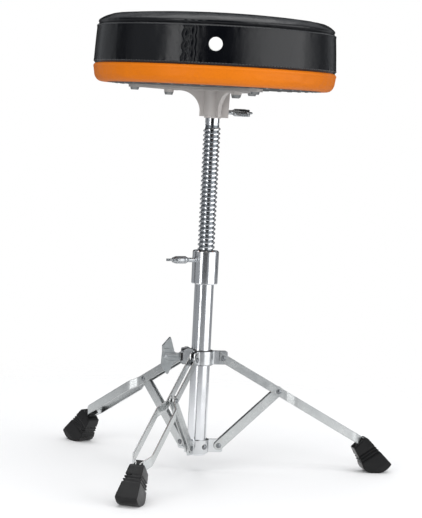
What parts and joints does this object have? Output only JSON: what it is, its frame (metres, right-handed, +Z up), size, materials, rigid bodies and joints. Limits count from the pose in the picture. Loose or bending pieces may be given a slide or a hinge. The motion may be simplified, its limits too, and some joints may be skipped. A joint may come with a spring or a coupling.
{
  "type": "drum throne",
  "caption": "Round padded drummer's stool on a folding strip-leg tripod, its height set by a coarse-threaded spindle.",
  "frame": {"origin": "on the tube's axis at floor level, at the centre of the circle through the three feet", "axes": "+Z up along the tube, +X along leg 1"},
  "size_m": [0.4279, 0.4814, 0.604],
  "materials": {
    "chrome": "bright chrome plate",
    "plated_strip": "satin zinc-chrome plate",
    "plated_stamping": "satin plate on stamped sheet",
    "rivet_steel": "plated, domed and polished by wear",
    "dark_steel": "zinc plated",
    "cast_wing": "grainy as-cast pewter grey",
    "chrome_cast": "chrome over a casting",
    "black_nylon": "moulded nylon",
    "bracket_paint": "silver-grey paint over a casting",
    "foot_rubber": "moulded rubber",
    "black_vinyl": "fine-grained vinyl",
    "orange_vinyl": "fine-grained vinyl",
    "foam": "polyurethane foam",
    "plywood": "plain plywood",
    "dust_cloth": "non-woven cloth"
  },
  "bodies": {
    "column": {"main_tube": "chrome", "height_collar": "chrome", "height_nut": "dark_steel", "lower_sleeve": "dark_steel", "lower_collar_plate_1": "plated_stamping", "lower_collar_plate_2": "plated_stamping", "lower_collar_plate_3": "plated_stamping", "lower_collar_rivets": "rivet_steel", "strut_pivot_rivets": "rivet_steel"},
    "leg_collar": {"leg_collar_plate_1": "plated_stamping", "leg_collar_plate_2": "plated_stamping", "leg_collar_plate_3": "plated_stamping", "leg_collar_bush": "black_nylon", "clamp_nut": "dark_steel", "clamp_washer": "black_nylon", "leg_pivot_rivets": "rivet_steel"},
    "clamp_screw": {"clamp_wing_screw": "cast_wing"},
    "height_bolt": {"height_wing_bolt": "chrome_cast"},
    "seat_bolt": {"seat_wing_bolt": "chrome_cast"},
    "lift": {"spindle_guide": "black_nylon"},
    "spindle": {"spindle": "chrome", "spindle_clip": "dark_steel"},
    "seat": {"seat_bracket": "bracket_paint", "seat_screws": "dark_steel", "t_nuts": "dark_steel", "seat_board": "plywood", "seat_foam": "foam", "seat_trim_band": "orange_vinyl", "seat_side_band": "black_vinyl", "seat_top_panel": "black_vinyl", "dust_cover": "dust_cloth"},
    "leg_1": {"leg_1_strip_a": "plated_strip", "leg_1_strip_b": "plated_strip", "leg_1_knee_rivets": "rivet_steel", "foot_1": "foot_rubber"},
    "strut_1": {"strut_1_strip_a": "plated_strip", "strut_1_strip_b": "plated_strip"},
    "leg_2": {"leg_2_strip_a": "plated_strip", "leg_2_strip_b": "plated_strip", "leg_2_knee_rivets": "rivet_steel", "foot_2": "foot_rubber"},
    "strut_2": {"strut_2_strip_a": "plated_strip", "strut_2_strip_b": "plated_strip"},
    "leg_3": {"leg_3_strip_a": "plated_strip", "leg_3_strip_b": "plated_strip", "leg_3_knee_rivets": "rivet_steel", "foot_3": "foot_rubber"},
    "strut_3": {"strut_3_strip_a": "plated_strip", "strut_3_strip_b": "plated_strip"}
  },
  "joints": [
    {"name": "leg_fold", "type": "slide", "parent": "column", "child": "leg_collar", "axis": [0, 0, 1], "range_m": [0, 0.077]},
    {"name": "leg_1_pivot", "type": "hinge", "parent": "leg_collar", "child": "leg_1", "pos_m": [0.03, 0, 0.1515], "axis": [0, 1, 0], "range_deg": [0, 50.07]},
    {"name": "strut_1_pivot", "type": "hinge", "parent": "column", "child": "strut_1", "pos_m": [0.0296, 0, 0.034], "axis": [0, -1, 0], "range_deg": [0, 37.51]},
    {"name": "leg_2_pivot", "type": "hinge", "parent": "leg_collar", "child": "leg_2", "pos_m": [-0.015, 0.02598, 0.1515], "axis": [-0.866, -0.5, 0], "range_deg": [0, 50.07]},
    {"name": "strut_2_pivot", "type": "hinge", "parent": "column", "child": "strut_2", "pos_m": [-0.0148, 0.02563, 0.034], "axis": [0.866, 0.5, 0], "range_deg": [0, 37.51]},
    {"name": "leg_3_pivot", "type": "hinge", "parent": "leg_collar", "child": "leg_3", "pos_m": [-0.015, -0.02598, 0.1515], "axis": [0.866, -0.5, 0], "range_deg": [0, 50.07]},
    {"name": "strut_3_pivot", "type": "hinge", "parent": "column", "child": "strut_3", "pos_m": [-0.0148, -0.02563, 0.034], "axis": [-0.866, 0.5, 0], "range_deg": [0, 37.51]},
    {"name": "height_travel", "type": "slide", "parent": "column", "child": "lift", "axis": [0, 0, 1], "range_m": [-0.15, 0.03]},
    {"name": "height_screw", "type": "hinge", "parent": "lift", "child": "spindle", "pos_m": [0, 0, 0.3], "axis": [0, 0, 1], "range_deg": [-9010, 1810]},
    {"name": "seat_swivel", "type": "hinge", "parent": "spindle", "child": "seat", "pos_m": [0, 0, 0.485], "axis": [0, 0, 1], "continuous": true},
    {"name": "clamp_screw_turn", "type": "hinge", "parent": "leg_collar", "child": "clamp_screw", "pos_m": [-0.03, 0, 0.152], "axis": [-1, 0, 0], "range_deg": [0, 1080]},
    {"name": "height_bolt_turn", "type": "hinge", "parent": "column", "child": "height_bolt", "pos_m": [-0.02861, -0.00902, 0.2815], "axis": [-0.9537, -0.3007, 0], "range_deg": [0, 720]},
    {"name": "seat_bolt_turn", "type": "hinge", "parent": "seat", "child": "seat_bolt", "pos_m": [0.02929, -0.00649, 0.4775], "axis": [0.9763, -0.2164, 0], "range_deg": [0, 720]}
  ],
  "couplings": [
    {"joint": "leg_1_pivot", "follows": "leg_fold", "rad_per_m": 11.237},
    {"joint": "strut_1_pivot", "follows": "leg_fold", "rad_per_m": 8.3878},
    {"joint": "leg_2_pivot", "follows": "leg_fold", "rad_per_m": 11.237},
    {"joint": "strut_2_pivot", "follows": "leg_fold", "rad_per_m": 8.3878},
    {"joint": "leg_3_pivot", "follows": "leg_fold", "rad_per_m": 11.237},
    {"joint": "strut_3_pivot", "follows": "leg_fold", "rad_per_m": 8.3878},
    {"joint": "height_screw", "follows": "height_travel", "rad_per_m": 1047.2}
  ]
}
